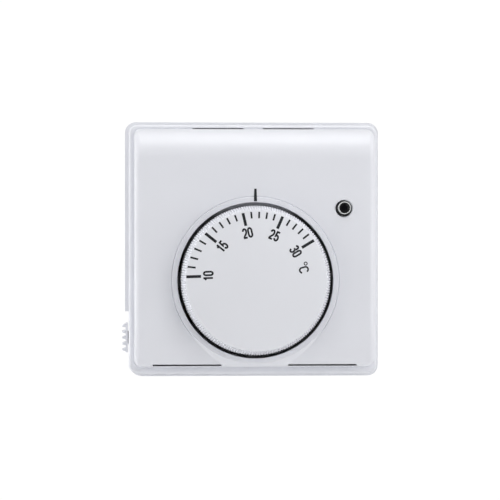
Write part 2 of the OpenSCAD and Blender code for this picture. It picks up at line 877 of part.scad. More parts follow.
// ---------- wiring ----------

module wire_live() {
  color([0.45, 0.25, 0.12]) on_wall() {
    wire([[-28, 28.4, 6.4], [-28, 25, 6.4], [-37, 19, 5], [-37, -8, 5], [-36, -15, 5],
          [-26, -19, 4.3], [-26.2, slide_tag_places[2], 4.3]], 0.75);
  }
}

module wire_switched() {
  color([0.1, 0.1, 0.1]) on_wall() {
    wire([[-26.2, slide_tag_places[1], 4.3], [-24.8, -22, 6.6], [-24.2, -4, 9], [-20, 8, 7.6],
          [-11.3, plunger_y, 6.6]], 0.75);
  }
}

module wire_common() {
  color([0.2, 0.3, 0.7]) on_wall() {
    wire([[17.9, plunger_y, 6.6], [20, 15, 6.6], [20, 24, 6.6], [8, 25.4, 6.6], [0, 25.4, 6.6],
          [0, 28.4, 6.4]], 0.75);
  }
}

module wire_lamp() {
  color([0.2, 0.3, 0.7]) on_wall() {
    wire([[22.4, 25.2, 5.2], [18, 25.4, 3.6], [-2, 26.3, 3.6], [-7, 25.6, 4.6], [-7, 28.4, 6.4]],
         0.5);
  }
}

// ---------- all nodes ----------

rear_housing();
front_cover();
cover_screw();
limit_pins();
dial_knob();
dial_spindle();
spindle_bush();
spindle_clip();
bridge_frame();
bridge_screws();
range_nut();
range_spring();
capsule_shell();
capsule_diaphragm();
capsule_hub();
capsule_nut();
switch_lever();
lever_pin();
lever_bracket();
bracket_screw();
trim_screw();
microswitch_case();
microswitch_lid();
microswitch_plunger();
snap_blade();
fixed_contact();
microswitch_tags();
microswitch_screws();
terminal_block();
terminal_clamps();
terminal_screws();
slide_knob();
slide_switch_case();
slide_switch_contact();
slide_switch_tags();
lamp_bush();
lamp_lens();
neon_lamp();
lamp_leads();
lamp_resistor();
heat_resistor();
wire_live();
wire_switched();
wire_common();
wire_lamp();
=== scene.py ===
"""Wall thermostat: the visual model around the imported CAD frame.

Shapes are worked out face on, in millimetres: x to the right, y up and d, the distance out from
the wall. place() turns such points into the frame's metres (+Z up, front facing -Y). The cover,
the dial, the lens and its bush are made again here as finer meshes. Every other CAD node keeps
its shape and gets a material and, apart from the range spring and the wires, rounded edges.
"""
import json
import math

import bmesh
import bpy
import numpy as np
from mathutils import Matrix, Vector


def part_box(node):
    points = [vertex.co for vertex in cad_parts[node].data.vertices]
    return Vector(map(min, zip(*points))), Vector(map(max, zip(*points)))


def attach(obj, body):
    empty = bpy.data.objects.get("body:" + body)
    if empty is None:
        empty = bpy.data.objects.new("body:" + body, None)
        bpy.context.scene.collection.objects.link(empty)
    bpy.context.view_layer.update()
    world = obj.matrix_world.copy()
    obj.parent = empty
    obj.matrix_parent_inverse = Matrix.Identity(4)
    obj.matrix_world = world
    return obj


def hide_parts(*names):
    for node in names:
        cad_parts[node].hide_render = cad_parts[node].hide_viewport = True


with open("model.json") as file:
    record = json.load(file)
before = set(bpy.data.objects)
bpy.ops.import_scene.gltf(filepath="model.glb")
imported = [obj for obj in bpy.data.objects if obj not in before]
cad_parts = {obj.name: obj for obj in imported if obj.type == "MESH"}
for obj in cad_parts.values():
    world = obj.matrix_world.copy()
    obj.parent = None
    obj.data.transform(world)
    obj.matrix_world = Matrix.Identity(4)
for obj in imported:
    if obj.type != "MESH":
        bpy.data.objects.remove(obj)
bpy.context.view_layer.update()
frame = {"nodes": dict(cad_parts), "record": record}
MM = 0.001
QUARTER = math.pi / 2


# ---------- sizes read from the frame ----------

def mm_box(node):
    """A node's box face on, in millimetres: lowest and highest x, y and d."""
    low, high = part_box(node)
    return ((low[0] / MM, high[0] / MM), (low[2] / MM, high[2] / MM),
            (-high[1] / MM, -low[1] / MM))


def middle(span):
    return (span[0] + span[1]) / 2


CASE = mm_box("rear_housing")
COVER = mm_box("front_cover")
KNOB = mm_box("dial_knob")
LENS = mm_box("lamp_lens")
BUSH = mm_box("lamp_bush")
SCREW = mm_box("cover_screw")

DIAL_Y = middle(KNOB[1])
DIAL_R = KNOB[0][1]
DIAL_BACK, FACE_DEPTH = KNOB[2]
SKIRT_HALF = COVER[0][1]


# ---------- mesh helpers ----------

def place(points):
    """Face-on millimetres to frame metres."""
    p = np.asarray(points, float)
    return np.stack([p[..., 0], -p[..., 2], p[..., 1]], -1) * MM


def make_object(name, verts, faces):
    mesh = bpy.data.meshes.new(name)
    mesh.from_pydata([tuple(v) for v in verts], [], faces)
    mesh.validate()
    obj = bpy.data.objects.new(name, mesh)
    bpy.context.scene.collection.objects.link(obj)
    return obj


def finish_mesh(obj, sharp_deg=32):
    """Merges doubles, turns the faces outwards and shades smooth up to an angle."""
    bm = bmesh.new()
    bm.from_mesh(obj.data)
    bmesh.ops.remove_doubles(bm, verts=bm.verts, dist=1e-7)
    bmesh.ops.dissolve_degenerate(bm, edges=bm.edges, dist=1e-8)
    bmesh.ops.recalc_face_normals(bm, faces=bm.faces)
    for face in bm.faces:
        face.smooth = True
    limit = math.radians(sharp_deg)
    for edge in bm.edges:
        edge.smooth = len(edge.link_faces) == 2 and edge.calc_face_angle(0) < limit
    bm.to_mesh(obj.data)
    bm.free()
    obj.data.update()
    return obj


def rings_object(name, rings, loop=False):
    """A skin over rings of points, each ring closed. loop joins the last ring to the first;
    otherwise the two end rings are capped."""
    rings = np.asarray(rings, float)
    count, around = rings.shape[:2]
    faces = []
    for i in range(count if loop else count - 1):
        a, b = i * around, (i + 1) % count * around
        for k in range(around):
            n = (k + 1) % around
            faces.append((a + k, a + n, b + n, b + k))
    if not loop:
        faces.append(tuple(range(around)))
        faces.append(tuple(range((count - 1) * around, count * around)))
    return make_object(name, place(rings.reshape(-1, 3)), faces)


def turned_ring(radius, depth, angles, centre):
    """A ring of points at one depth; the radius may change with the angle."""
    return np.stack([centre[0] + radius * np.cos(angles), centre[1] + radius * np.sin(angles),
                     np.full(len(angles), depth)], -1)


def lathe(name, profile, centre, steps=96, loop=False):
    """A turned piece: profile is a list of (radius, depth), centre is its axis (x, y)."""
    angles = np.linspace(0, 2 * math.pi, steps, endpoint=False)
    return rings_object(name, [turned_ring(r, d, angles, centre) for r, d in profile], loop)


def rounded(profile, radius, steps=4):
    """The same outline with every corner between its two ends replaced by a small round."""
    out = [profile[0]]
    for before, corner, after in zip(profile, profile[1:], profile[2:]):
        p, c, q = (np.array(v, float) for v in (before, corner, after))
        u, v = p - c, q - c
        length_u, length_v = np.linalg.norm(u), np.linalg.norm(v)
        r = min(radius, length_u * 0.45, length_v * 0.45)
        start, end = c + u / length_u * r, c + v / length_v * r
        for k in range(steps + 1):
            t = k / steps
            out.append(tuple((1 - t) ** 2 * start + 2 * t * (1 - t) * c + t * t * end))
    out.append(profile[-1])
    return out


def box_object(name, low, high):
    """A plain cutter box, face on."""
    rings = [[(low[0], low[1], d), (high[0], low[1], d), (high[0], high[1], d),
              (low[0], high[1], d)] for d in (low[2], high[2])]
    return rings_object(name, rings)


def sector(name, inner, outer, start, end, d0, d1, steps=40):
    """A closed block between two radii and two angles, in degrees, round the dial's axis."""
    turn = np.radians(np.linspace(start, end, steps))
    corners = [(inner, d0), (outer, d0), (outer, d1), (inner, d1)]
    verts = [(r * math.cos(a), DIAL_Y + r * math.sin(a), d) for a in turn for r, d in corners]
    faces = [(4 * i + k, 4 * i + (k + 1) % 4, 4 * i + 4 + (k + 1) % 4, 4 * i + 4 + k)
             for i in range(steps - 1) for k in range(4)]
    faces += [(0, 1, 2, 3), tuple(4 * (steps - 1) + k for k in range(4))]
    return finish_mesh(make_object(name, place(verts), faces))


def cut(obj, cutters):
    """Cuts each cutter out of obj and throws the cutters away."""
    for cutter in cutters:
        finish_mesh(cutter)
        mod = obj.modifiers.new("cut", "BOOLEAN")
        mod.operation = "DIFFERENCE"
        mod.solver = "EXACT"
        mod.object = cutter
    deps = bpy.context.evaluated_depsgraph_get()
    mesh = bpy.data.meshes.new_from_object(obj.evaluated_get(deps))
    obj.modifiers.clear()
    obj.data = mesh
    for cutter in cutters:
        bpy.data.objects.remove(cutter)
    return obj


# ---------- rectangles with round corners, seen from the dial's axis ----------

def rect_distance(x, y, box, corner):
    """Signed distance to a rectangle with round corners; box is (x0, x1, y0, y1)."""
    cx, cy = middle(box[:2]), middle(box[2:])
    qx = np.abs(x - cx) - ((box[1] - box[0]) / 2 - corner)
    qy = np.abs(y - cy) - ((box[3] - box[2]) / 2 - corner)
    outside = np.hypot(np.maximum(qx, 0), np.maximum(qy, 0))
    return outside + np.minimum(np.maximum(qx, qy), 0) - corner


def reach(angles, box, corner, inset):
    """How far along each direction from the dial's axis the outline, set back by inset, lies."""
    low, high = np.zeros_like(angles), np.full_like(angles, 90.0)
    for _ in range(48):
        mid = (low + high) / 2
        x, y = mid * np.cos(angles), DIAL_Y + mid * np.sin(angles)
        outside = rect_distance(x, y, box, corner) > -inset
        high = np.where(outside, mid, high)
        low = np.where(outside, low, mid)
    return (low + high) / 2


def directions(box, corner):
    """Directions from the dial's axis: evenly spread, and closer together at the corners."""
    every = np.arange(0, 360, 0.75)
    extra = []
    for side, end, start in ((0, 2, 180), (0, 3, 90), (1, 2, 270), (1, 3, 0)):
        cx = box[side] + (corner if side == 0 else -corner)
        cy = box[end] + (corner if end == 2 else -corner)
        for a in np.radians(np.linspace(start, start + 90, 15)):
            extra.append(math.degrees(math.atan2(cy + corner * math.sin(a) - DIAL_Y,
                                                 cx + corner * math.cos(a))) % 360)
    return np.radians(np.unique(np.round(np.concatenate([every, extra]), 3)))


# ---------- front cover ----------

WALL = 1.8
CASE_DEPTH = 7.0

SKIRT_DEPTH = 15.0
SKIRT_CORNER = 3.0
SKIRT_EDGE = 0.9
RIM_CHAMFER = (0.15, 0.25)
# groove in the skirt's step: distance out from the panel's side, and rise over the step
STEP_GROOVE = ((0.1, -0.13), (0.3, -0.15), (0.45, -0.13), (0.55, -0.05), (0.7, 0))

FRONT_DEPTH = 28.0
PANEL_HALF = 38.5
PANEL_TOP = 38.8
PANEL_BOTTOM = -38.0
PANEL_BOTTOM_FRONT = -37.25
PANEL_CORNER = 2.4
TOP_CURVE = 9.6
BOTTOM_CURVE = 38.0
BOTTOM_START = -24.0
SIDE_ROUND = 2.0
TOP_ROUND = 0.3
BOTTOM_ROUND = 0.8

COLLAR_DEPTH = 28.5
COLLAR_R = 26.67
COLLAR_DRAFT = 0.12
COLLAR_ROUND = 0.16
FOOT_FILLET = 0.12
FOOT_GROOVE = 0.4
FOOT_GROOVE_W = 0.2
FOOT_GROOVE_FADE = 0.5
NEAR_BAND = 4.2

OPENING_R = 24.85
LIP_ROUND = 0.22
WELL_BACK = 22.0
WELL_FLOOR = WELL_BACK + 1.5
WELL_ROUND = 0.3
TUBE_R = OPENING_R + 1.5
WELL_SLOT_R = (21.8, OPENING_R - 0.15)
WELL_SLOTS = ((6, 56), (124, 174), (186, 264), (276, 354))
SPINDLE_HOLE_R = 4.6
SCREW_HOLE_R = 1.6

# vents: nearest and furthest x, then their height over the panel's top or bottom
TOP_VENT = (3.15, 19.65)
TOP_SLIT = (0.02, 0.47)
LOW_VENT = (10.65, 32.7)
LOW_SLIT = (0.75, 1.3)
LOW_POCKET = (0.7, 3)
POCKET_SIDE = 0.1
LAMP_HOLE_AT = (28.3, 13.1)
LAMP_HOLE_R = 2.7
LAMP_HOLE_BEVEL = 0.3

FRONT_BOX = (-PANEL_HALF, PANEL_HALF, PANEL_BOTTOM_FRONT, PANEL_TOP)
ROOT_BOX = (-PANEL_HALF, PANEL_HALF, PANEL_BOTTOM, PANEL_TOP)
SKIRT_BOX = (-SKIRT_HALF, SKIRT_HALF, -SKIRT_HALF, SKIRT_HALF)


def panel_height(y):
    """Depth of the raised panel's surface at height y, before its edges are rounded."""
    top = np.clip(y - (PANEL_TOP - TOP_CURVE), 0, TOP_CURVE)
    low = np.clip(BOTTOM_START - y, 0, BOTTOM_CURVE)
    return (FRONT_DEPTH - (TOP_CURVE - np.sqrt(TOP_CURVE ** 2 - top ** 2))
            - (BOTTOM_CURVE - np.sqrt(BOTTOM_CURVE ** 2 - low ** 2)))


def collar_height(rho):
    """Depth of the collar: a flat ring, a steep step to the front plane and a cone behind it."""
    step = FRONT_DEPTH + (COLLAR_R - rho) / COLLAR_DRAFT * (COLLAR_DEPTH - FRONT_DEPTH)
    cone = FRONT_DEPTH + (COLLAR_R - rho)
    return np.where(rho < COLLAR_R, np.minimum(step, COLLAR_DEPTH), cone)


def with_collar(height, rho, groove=FOOT_GROOVE):
    """The panel's height and the collar's, with a small fillet and a groove where they meet.
    The groove runs out where the panel rolls away from the front plane."""
    collar = collar_height(rho)
    lift = np.maximum(FOOT_FILLET - np.abs(height - collar), 0) ** 2 / (4 * FOOT_FILLET)
    flat = np.clip(1 - (FRONT_DEPTH - height) / FOOT_GROOVE_FADE, 0, 1)
    foot = groove * flat * np.exp(-((rho - COLLAR_R + COLLAR_DRAFT) / FOOT_GROOVE_W) ** 2)
    return np.maximum(height, collar) + lift - foot


def front_surface(x, y, rho):
    return with_collar(panel_height(y), rho)


def inner_surface(x, y, rho):
    return panel_height(y) - WALL


def edge_radius(angles):
    """Radius of the panel's front edge: wide at the sides, small along the top and bottom."""
    rho = reach(angles, FRONT_BOX, PANEL_CORNER, 0)
    x, y = rho * np.cos(angles), DIAL_Y + rho * np.sin(angles)

    def slope(dx, dy):
        return (rect_distance(x + dx, y + dy, FRONT_BOX, PANEL_CORNER)
                - rect_distance(x - dx, y - dy, FRONT_BOX, PANEL_CORNER))

    nx, ny = slope(1e-3, 0), slope(0, 1e-3)
    sideways = nx ** 2 / (nx ** 2 + ny ** 2)
    return SIDE_ROUND * sideways + np.where(ny > 0, TOP_ROUND, BOTTOM_ROUND) * (1 - sideways)


class Skin:
    """Rings round the dial's axis that together make the cover's closed skin."""

    def __init__(self, angles):
        self.angles = angles
        self.rings = []

    def ring(self, rho, depth):
        """Adds a ring at rho from the axis; depth is a number or a function of x, y and rho."""
        rho = np.broadcast_to(rho, self.angles.shape)
        x, y = rho * np.cos(self.angles), DIAL_Y + rho * np.sin(self.angles)
        d = depth(x, y, rho) if callable(depth) else np.broadcast_to(depth, self.angles.shape)
        self.rings.append(np.stack([x, y, d], -1))

    def outline(self, box, corner, inset, depth):
        """Adds a ring along a rectangle with round corners, set back by inset."""
        self.ring(reach(self.angles, box, corner, inset), depth)


def add_well(skin):
    """The dial's well, from the spindle's hole outwards, up the wall and over the lip."""
    wall = rounded([(SPINDLE_HOLE_R, WELL_BACK + 0.3), (SPINDLE_HOLE_R, WELL_FLOOR),
                    (OPENING_R, WELL_FLOOR), (OPENING_R, COLLAR_DEPTH)], WELL_ROUND)
    lip = rounded([(OPENING_R, COLLAR_DEPTH - 1), (OPENING_R, COLLAR_DEPTH),
                   (OPENING_R + 1, COLLAR_DEPTH), (OPENING_R + 1.2, COLLAR_DEPTH)], LIP_ROUND, 6)
    for rho, depth in wall[:-1] + lip[:-1]:
        skin.ring(rho, depth)


def add_collar_and_panel(skin):
    """The collar's rounded edge, then the panel: rings close together just outside the collar,
    wider further out and close again at the panel's rounded edge."""
    shoulder = COLLAR_R - COLLAR_DRAFT - COLLAR_ROUND
    for a in np.linspace(0, QUARTER, 7):
        skin.ring(shoulder + COLLAR_ROUND * math.sin(a),
                  COLLAR_DEPTH - COLLAR_ROUND * (1 - math.cos(a)))
    radius = edge_radius(skin.angles)
    edge = reach(skin.angles, FRONT_BOX, PANEL_CORNER, radius)
    start = COLLAR_R - 0.06
    near = np.minimum(NEAR_BAND, 0.97 * (edge - start))
    for t in np.linspace(0, 1, 46):
        skin.ring(start + t ** 1.6 * near, front_surface)
    for t in np.sin(QUARTER * np.arange(1, 43) / 43):
        skin.ring(start + near + t * (edge - start - near), front_surface)
    for a in np.linspace(0, QUARTER, 9):
        drop = radius * (1 - math.cos(a))
        rho = reach(skin.angles, FRONT_BOX, PANEL_CORNER, radius * (1 - math.sin(a)))
        skin.ring(rho, lambda x, y, rho: front_surface(x, y, rho) - drop)


def add_sides(skin):
    """The panel's side walls, the groove at their foot and the skirt down to the rear rim."""
    top = skin.rings[-1][:, 2]
    rho_top = reach(skin.angles, FRONT_BOX, PANEL_CORNER, 0)
    rho_root = reach(skin.angles, ROOT_BOX, PANEL_CORNER, 0)
    for t in np.linspace(0.15, 1, 6):
        skin.ring(rho_top + t * (rho_root - rho_top), top + t * (SKIRT_DEPTH - 0.08 - top))
    for out, rise in STEP_GROOVE:
        skin.outline(ROOT_BOX, PANEL_CORNER, -out, SKIRT_DEPTH + rise)
    for a in np.linspace(0, QUARTER, 6):
        skin.outline(SKIRT_BOX, SKIRT_CORNER, SKIRT_EDGE * (1 - math.sin(a)),
                     SKIRT_DEPTH - SKIRT_EDGE * (1 - math.cos(a)))
    chamfer_in, chamfer_up = RIM_CHAMFER
    for depth in (12.5, 10, CASE_DEPTH + chamfer_up):
        skin.outline(SKIRT_BOX, SKIRT_CORNER, 0, depth)
    skin.outline(SKIRT_BOX, SKIRT_CORNER, chamfer_in, CASE_DEPTH)


def add_inside(skin):
    """The inside: up the skirt, under the panel and down the tube round the dial's well."""
    skin.outline(SKIRT_BOX, SKIRT_CORNER, WALL, CASE_DEPTH)
    skin.outline(SKIRT_BOX, SKIRT_CORNER, WALL, SKIRT_DEPTH - WALL)
    skin.outline(ROOT_BOX, PANEL_CORNER, WALL, SKIRT_DEPTH - WALL)
    inner = reach(skin.angles, FRONT_BOX, PANEL_CORNER, WALL)
    skin.ring(inner, lambda x, y, rho: np.minimum(inner_surface(x, y, rho),
                                                  FRONT_DEPTH - TOP_CURVE * 0.9))
    for t in np.linspace(0.08, 1, 10):
        skin.ring(inner + t * (TUBE_R - inner), inner_surface)
    skin.ring(TUBE_R, WELL_BACK)
    skin.ring(SPINDLE_HOLE_R, WELL_BACK)


def mirrored(span):
    """A span of x to the left of the middle, then the same span to the right."""
    return ((-span[1], -span[0]), span)


def cover_cutters():
    """The air slots in the well's floor, the vents and their pockets, the lamp's and screw's
    holes."""
    cutters = [sector("well_slot", *WELL_SLOT_R, start, end, WELL_BACK - 1, WELL_FLOOR + 0.5)
               for start, end in WELL_SLOTS]
    slit_low, slit_high = (PANEL_TOP + y for y in TOP_SLIT)
    for x0, x1 in mirrored(TOP_VENT):
        cutters.append(box_object("vent", (x0, slit_low, SKIRT_DEPTH - 2),
                                  (x1, slit_high, SKIRT_DEPTH + 1)))
        cutters.append(box_object("vent_pocket", (x0, PANEL_TOP - 1.3, CASE_DEPTH + 2),
                                  (x1, slit_high, SKIRT_DEPTH - 0.8)))
    slit_low, slit_high = (PANEL_BOTTOM + y for y in LOW_SLIT)
    pocket_low, pocket_high = (PANEL_BOTTOM + y for y in LOW_POCKET)
    for x0, x1 in mirrored(LOW_VENT):
        cutters.append(box_object("slit", (x0, slit_low, SKIRT_DEPTH + 3),
                                  (x1, slit_high, FRONT_DEPTH + 1)))
        cutters.append(box_object("pocket", (x0 - POCKET_SIDE, pocket_low, SKIRT_DEPTH - 2),
                                  (x1 + POCKET_SIDE, pocket_high, FRONT_DEPTH - 4.6)))
    wide = LAMP_HOLE_R + LAMP_HOLE_BEVEL
    cutters.append(lathe("lamp_cut", [(LAMP_HOLE_R, FRONT_DEPTH - 8),
                                      (LAMP_HOLE_R, FRONT_DEPTH - LAMP_HOLE_BEVEL),
                                      (wide, FRONT_DEPTH), (wide, FRONT_DEPTH + 2)],
                         LAMP_HOLE_AT, 64))
    cutters.append(lathe("screw_cut", [(SCREW_HOLE_R, WELL_BACK - 2),
                                       (SCREW_HOLE_R, WELL_FLOOR + 1.5)],
                         (middle(SCREW[0]), middle(SCREW[1])), 32))
    return cutters


def build_cover():
    skin = Skin(directions(FRONT_BOX, PANEL_CORNER))
    add_well(skin)
    add_collar_and_panel(skin)
    add_sides(skin)
    add_inside(skin)
    cover = finish_mesh(rings_object("cover_shell", skin.rings, loop=True))
    return finish_mesh(cut(cover, cover_cutters()))


# ---------- dial ----------

FACE_R = 22.5
FACE_ROUND = 0.45
FACE_DROP = 0.42
CROWN = 1.5
TEETH = 180
TOOTH_DEPTH = 0.42
TOOTH_BLUNTNESS = 0.8
STEPS_PER_TOOTH = 12
TAPER_DEPTH = 30.0
TEETH_BACK = 26.6
DIAL_WALL = 1.6
FACE_WALL = 2
HUB_R = 4.2
HUB_BACK = 25.6
BORE_R = 2.56
BORE_END = 34
CENTRE_R = 0.6


def face_at(r):
    """Depth of the dial's slightly crowned face at a distance from its axis."""
    return FACE_DEPTH - CROWN * (r / FACE_R) ** 2


def build_dial():
    """The dial from the middle of its face outwards, down the serrated rim and back up inside."""
    angles = np.linspace(0, 2 * math.pi, TEETH * STEPS_PER_TOOTH, endpoint=False)
    valley = 1 - np.abs(np.sin(angles * TEETH / 2)) ** TOOTH_BLUNTNESS
    rings = []

    def ring(r, depth, tooth=0.0):
        """tooth runs from 0, plain, to 1, where the teeth have their full depth."""
        rings.append(turned_ring(r - TOOTH_DEPTH * tooth * valley, depth, angles, (0, DIAL_Y)))

    face_end = FACE_R - FACE_ROUND
    for r in (CENTRE_R, 4, 8, 12, 15, 18, 20, 21.2, face_end):
        ring(r, face_at(r))
    for t in np.arange(1, 7) / 6:
        ring(FACE_R - FACE_ROUND * (1 - math.sin(t * QUARTER)),
             face_at(face_end) - FACE_DROP * (1 - math.cos(t * QUARTER)), t ** 1.5)
    low = face_at(FACE_R) - 0.4
    rim_r = FACE_R + 0.02
    for t in np.linspace(0.1, 1, 8):
        ring(rim_r + t * (DIAL_R - rim_r), low + t * (TAPER_DEPTH - low), 1.0)
    for ahead, tooth in ((1.9, 1.0), (0.4, 1.0), (0.2, 0.5), (0, 0.0)):
        ring(DIAL_R, TEETH_BACK + ahead, tooth)
    ring(DIAL_R, DIAL_BACK + 0.3)
    ring(DIAL_R - 0.2, DIAL_BACK)
    ring(DIAL_R - DIAL_WALL, DIAL_BACK)
    ring(DIAL_R - DIAL_WALL, TAPER_DEPTH)
    ring(FACE_R - DIAL_WALL, FACE_DEPTH - FACE_WALL)
    ring(HUB_R, FACE_DEPTH - FACE_WALL)
    # hub with the spindle's hole
    ring(HUB_R, HUB_BACK)
    ring(BORE_R, HUB_BACK)
    ring(BORE_R, BORE_END)
    ring(CENTRE_R, BORE_END)
    return finish_mesh(rings_object("dial_shell", rings))


# ---------- printed marks ----------

PRINT_RISE = 0.015
PRINT_SINK = 0.02
AIM = np.array([0.0, 1.97])
TICK_OUTER = 21.75
SIDE_REACH = 0.5
MINOR_INNER = 19.7
MINOR_W = 0.56
MAJOR_INNER = 17.65
MAJOR_W = 0.9
NUMERAL_R = 15.35
DIGIT_W = 1.08
DIGIT_H = 2.8
DIGIT_PITCH = 1.68
DIGIT_STROKE = 0.58
SCALE_MIDDLE = 20
MIDDLE_TURN = -12.7
TURN_PER_DEGREE = 7.55
TIGHTENING = 0.036
UNIT_TURN = 16
RING_AT = np.array([15.4, 5.42])
RING_SIZE = 0.95
RING_STROKE = 0.3
LETTER_AT = np.array([14.85, 3.45])
LETTER_W = 1.6
LETTER_H = 2.7
LETTER_STROKE = 0.52
INDEX_SPAN = (25.15, 29.2)
INDEX_W = (1.0, 0.76)


def scale_angle(t):
    """Direction of a temperature's ray, in radians clockwise from straight up. The scale is a
    little tighter towards its warm end."""
    u = t - SCALE_MIDDLE
    return math.radians(MIDDLE_TURN + TURN_PER_DEGREE * u - TIGHTENING * u * u)


def across(angle):
    return np.array([math.cos(angle), -math.sin(angle)])


def upward(angle):
    return np.array([math.sin(angle), math.cos(angle)])


def ray_point(angle, radius):
    """Where a ray from AIM, a little above the dial's axis, crosses a circle round the axis."""
    d = upward(angle)
    b = float(np.dot(AIM, d))
    return AIM + (-b + math.sqrt(b * b + radius ** 2 - np.dot(AIM, AIM))) * d


def arc(cx, cy, rx, ry, start, end, steps=14):
    return [(cx + rx * math.cos(math.radians(t)), cy + ry * math.sin(math.radians(t)))
            for t in np.linspace(start, end, steps)]


# Middle lines of the strokes, in a cell one wide and one high; "o" is the degree sign
GLYPHS = {
    "0": [arc(0.5, 0.74, 0.5, 0.26, 0, 180) + arc(0.5, 0.26, 0.5, 0.26, 180, 360)],
    "1": [[(0.72, 0), (0.72, 1.07)], [(0.68, 0.98), (0.54, 0.84), (0.14, 0.78)]],
    "2": [arc(0.5, 0.72, 0.48, 0.28, 175, 0)
          + [(0.93, 0.58), (0.78, 0.44), (0.3, 0.2), (0.05, 0.0)], [(-0.1, 0), (1.05, 0)]],
    "3": [arc(0.47, 0.77, 0.45, 0.23, 165, -90) + arc(0.47, 0.27, 0.52, 0.27, 90, -165, 16)],
    "5": [[(1.0, 1), (0.2, 1), (0.1, 0.5)] + arc(0.5, 0.3, 0.5, 0.3, 150, -165, 18)],
    "C": [arc(0.5, 0.72, 0.5, 0.28, 15, 180) + arc(0.5, 0.28, 0.5, 0.28, 180, 345)],
    "o": [arc(0.5, 0.5, 0.5, 0.5, 0, 360, 20)[:-1]],
}
CLOSED_GLYPHS = "0o"


def unit(v):
    return v / np.linalg.norm(v, axis=1, keepdims=True)


def ribbon(path, width, closed=False):
    """Left and right edges of a stroke along a path."""
    p = np.array(path, float)
    p = p[np.linalg.norm(p - np.roll(p, 1, 0), axis=1) > 1e-6]
    ahead = np.roll(p, -1, 0) - p
    behind = p - np.roll(p, 1, 0)
    if not closed:
        ahead[-1], behind[0] = behind[-1], ahead[0]
    ahead, behind = unit(ahead), unit(behind)
    along = unit(ahead + behind)
    normal = np.stack([-along[:, 1], along[:, 0]], 1)
    mitre = np.clip(1 / np.maximum((along * ahead).sum(1, keepdims=True), 0.5), 1, 1.6)
    return p + normal * width / 2 * mitre, p - normal * width / 2 * mitre, closed


def print_object(name, strokes, surface, body):
    """Thin printed ink: a stroke is its left and right edge face on and whether it is closed,
    laid on surface(x, y)."""
    verts, faces = [], []
    for left, right, closed in strokes:
        n, base = len(left), len(verts)
        verts += [(x, y, surface(x, y) + rise) for rise in (PRINT_RISE, -PRINT_SINK)
                  for side in (left, right) for x, y in side]
        for i in range(n if closed else n - 1):
            a, b = base + i, base + (i + 1) % n
            for c0, c1 in ((0, 1), (1, 3), (3, 2), (2, 0)):
                faces.append((a + c0 * n, b + c0 * n, b + c1 * n, a + c1 * n))
        if not closed:
            for end in (base, base + n - 1):
                faces.append(tuple(end + c * n for c in (0, 1, 3, 2)))
    obj = finish_mesh(make_object(name, place(verts), faces))
    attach(obj, body)


def dial_surface(x, y):
    return face_at(math.hypot(x, y - DIAL_Y))


def index_surface(x, y):
    """The collar and the panel without the groove between them: the ink bridges it."""
    return float(with_collar(panel_height(y), np.hypot(x, y - DIAL_Y), groove=0))


def on_dial(points):
    """Points round the dial's axis, moved to its place on the cover."""
    return [(x, y + DIAL_Y) for x, y in points]


def write(name, centre, angle, width, height, stroke):
    """The strokes of one glyph with its middle at centre and its top turned by angle."""
    strokes = []
    for line in GLYPHS[name]:
        points = [centre + across(angle) * (x - 0.5) * width + upward(angle) * (y - 0.5) * height
                  for x, y in line]
        strokes.append(ribbon(on_dial(points), stroke, name in CLOSED_GLYPHS))
    return strokes


def add_ticks():
    """Ticks from 10 to 30 degrees, a little longer at the sides."""
    strokes = []
    for t in range(10, 31):
        angle = scale_angle(t)
        inner, width = (MAJOR_INNER, MAJOR_W) if t % 5 == 0 else (MINOR_INNER, MINOR_W)
        outer = TICK_OUTER + SIDE_REACH * math.sin(angle) ** 2
        line = np.linspace(ray_point(angle, inner), ray_point(angle, outer), 6)
        strokes.append(ribbon(on_dial(line), width))
    print_object("scale_ticks", strokes, dial_surface, "dial")


def add_numerals():
    """A numeral at every fifth tick, and the unit's sign after the last."""
    strokes = []
    for t in range(10, 31, 5):
        angle = scale_angle(t)
        for k, digit in enumerate(str(t)):
            centre = ray_point(angle, NUMERAL_R) + across(angle) * (k - 0.5) * DIGIT_PITCH
            strokes += write(digit, centre, angle, DIGIT_W, DIGIT_H, DIGIT_STROKE)
    angle = scale_angle(30) + math.radians(UNIT_TURN)
    strokes += write("o", RING_AT, angle, RING_SIZE, RING_SIZE, RING_STROKE)
    strokes += write("C", LETTER_AT, angle, LETTER_W, LETTER_H, LETTER_STROKE)
    print_object("scale_numerals", strokes, dial_surface, "dial")


def add_index_line():
    """The index mark, printed across the collar's ring and onto the panel."""
    reach_out = np.linspace(*INDEX_SPAN, 80)
    half = np.linspace(*INDEX_W, len(reach_out)) / 2
    y = DIAL_Y + reach_out
    strokes = [(np.stack([-half, y], 1), np.stack([half, y], 1), False)]
    print_object("index_line", strokes, index_surface, "housing")


# ---------- indicator ----------

LAMP_AXIS = (middle(LENS[0]), middle(LENS[1]))
LENS_R = LENS[0][1] - LAMP_AXIS[0]
LENS_CROWN = 0.62
LENS_CHAMFER = 0.1
BUSH_BORE_R = LENS_R + 0.03
BUSH_R = LENS_R + 0.32
BUSH_FLANGE_R = 3
BUSH_FLANGE = 1.15
BUSH_ROUND = 0.16


def build_lens():
    back, front = LENS[2]
    dome = [(LENS_R * math.sin(t), front - (1 - math.cos(t)) * LENS_CROWN)
            for t in np.linspace(0.08, QUARTER, 10)]
    profile = dome + [(LENS_R, back + LENS_CHAMFER), (LENS_R - LENS_CHAMFER, back)]
    return finish_mesh(lathe("lamp_lens_visual", profile, LAMP_AXIS))


